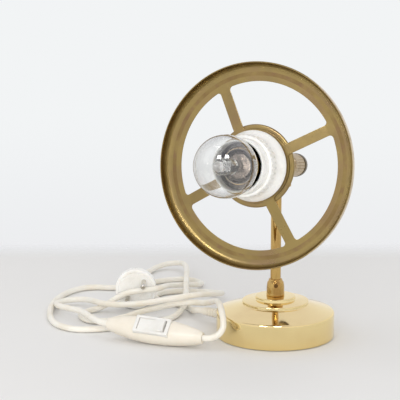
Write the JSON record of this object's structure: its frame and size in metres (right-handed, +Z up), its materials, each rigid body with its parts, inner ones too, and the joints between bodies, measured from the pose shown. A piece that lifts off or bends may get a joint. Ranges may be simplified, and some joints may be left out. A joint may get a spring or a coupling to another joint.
{
  "type": "table lamp",
  "caption": "Brass table lamp with a stepped round foot, swivel stem, tilting spoked-wheel head, clear round bulb and a cream cord with in-line switch and plug.",
  "frame": {"origin": "centre of the foot on the table", "axes": "+Z up along the stem, -Y the way the head faces, +X to the lamp's left as the bulb looks out"},
  "size_m": [0.2842, 0.2767, 0.2143],
  "materials": {
    "polished_brass": "polished",
    "satin_brass": "satin",
    "plain_brass": "machined",
    "iron": "rough cast",
    "plated_steel": "zinc plated",
    "nickel": "bright nickel",
    "felt": "felt",
    "cream_flex": "smooth",
    "cream_plastic": "moulded",
    "white_plastic": "moulded",
    "ceramic_white": "fired",
    "core_insulation": "smooth",
    "clear_glass": "clear",
    "quartz_glass": "clear",
    "black_glass": "fused glass"
  },
  "bodies": {
    "foot": {"base_cover": "polished_brass", "base_weight": "iron", "base_felt": "felt", "base_nipple": "plain_brass", "base_locknut": "plain_brass", "base_washer": "plated_steel", "bell_collar": "polished_brass", "collar_set_screw": "plated_steel", "cord_relief": "cream_flex", "cord_tail": "cream_flex", "cord_clamp": "plated_steel", "clamp_screws": "plated_steel", "foot_cores": "core_insulation", "cord_foot_run": "cream_flex", "cord_plug_run": "cream_flex", "switch_lower": "cream_plastic", "switch_upper": "cream_plastic", "switch_bezel": "white_plastic", "switch_contacts": "plain_brass", "switch_screws": "plated_steel", "plug_face": "white_plastic", "plug_shell": "white_plastic", "plug_boot": "cream_flex", "plug_pins": "nickel"},
    "stem": {"stem_tube": "polished_brass", "stem_fork": "plain_brass", "stem_cores": "core_insulation"},
    "head": {"pivot_block": "plain_brass", "pivot_screws": "plain_brass", "friction_washers": "plated_steel", "knob_stud": "plated_steel", "knob_washer": "plain_brass", "head_nipple": "plain_brass", "head_locknut": "plain_brass", "head_cores": "core_insulation", "rear_cup": "satin_brass", "spoked_wheel": "satin_brass", "holder_body": "white_plastic", "holder_insert": "ceramic_white", "holder_screws": "plain_brass", "thread_shell": "plain_brass", "centre_contact": "plain_brass", "shade_ring": "white_plastic", "bulb_globe": "clear_glass", "bulb_cap": "nickel", "bulb_insulator": "black_glass", "bulb_contact": "plated_steel", "bulb_capsule": "quartz_glass", "bulb_wires": "plated_steel", "bulb_filament": "plated_steel"},
    "knob": {"fluted_knob": "satin_brass"},
    "rocker": {"switch_rocker": "white_plastic"}
  },
  "joints": [
    {"name": "stem_swivel", "type": "hinge", "parent": "foot", "child": "stem", "pos_m": [0, 0, 0.0415], "axis": [0, 0, 1], "range_deg": [-170, 170]},
    {"name": "head_tilt", "type": "hinge", "parent": "stem", "child": "head", "pos_m": [0, 0, 0.1327], "axis": [-1, 0, 0], "range_deg": [-20, 32]},
    {"name": "knob_turn", "type": "hinge", "parent": "head", "child": "knob", "pos_m": [0, 0.02971, 0.12852], "axis": [0, -0.9903, 0.1392], "range_deg": [0, 180]},
    {"name": "rocker_press", "type": "hinge", "parent": "foot", "child": "rocker", "pos_m": [-0.07271, -0.06508, 0.01357], "axis": [-0.0222, 0.7073, 0.7066], "range_deg": [0, 14]}
  ]
}
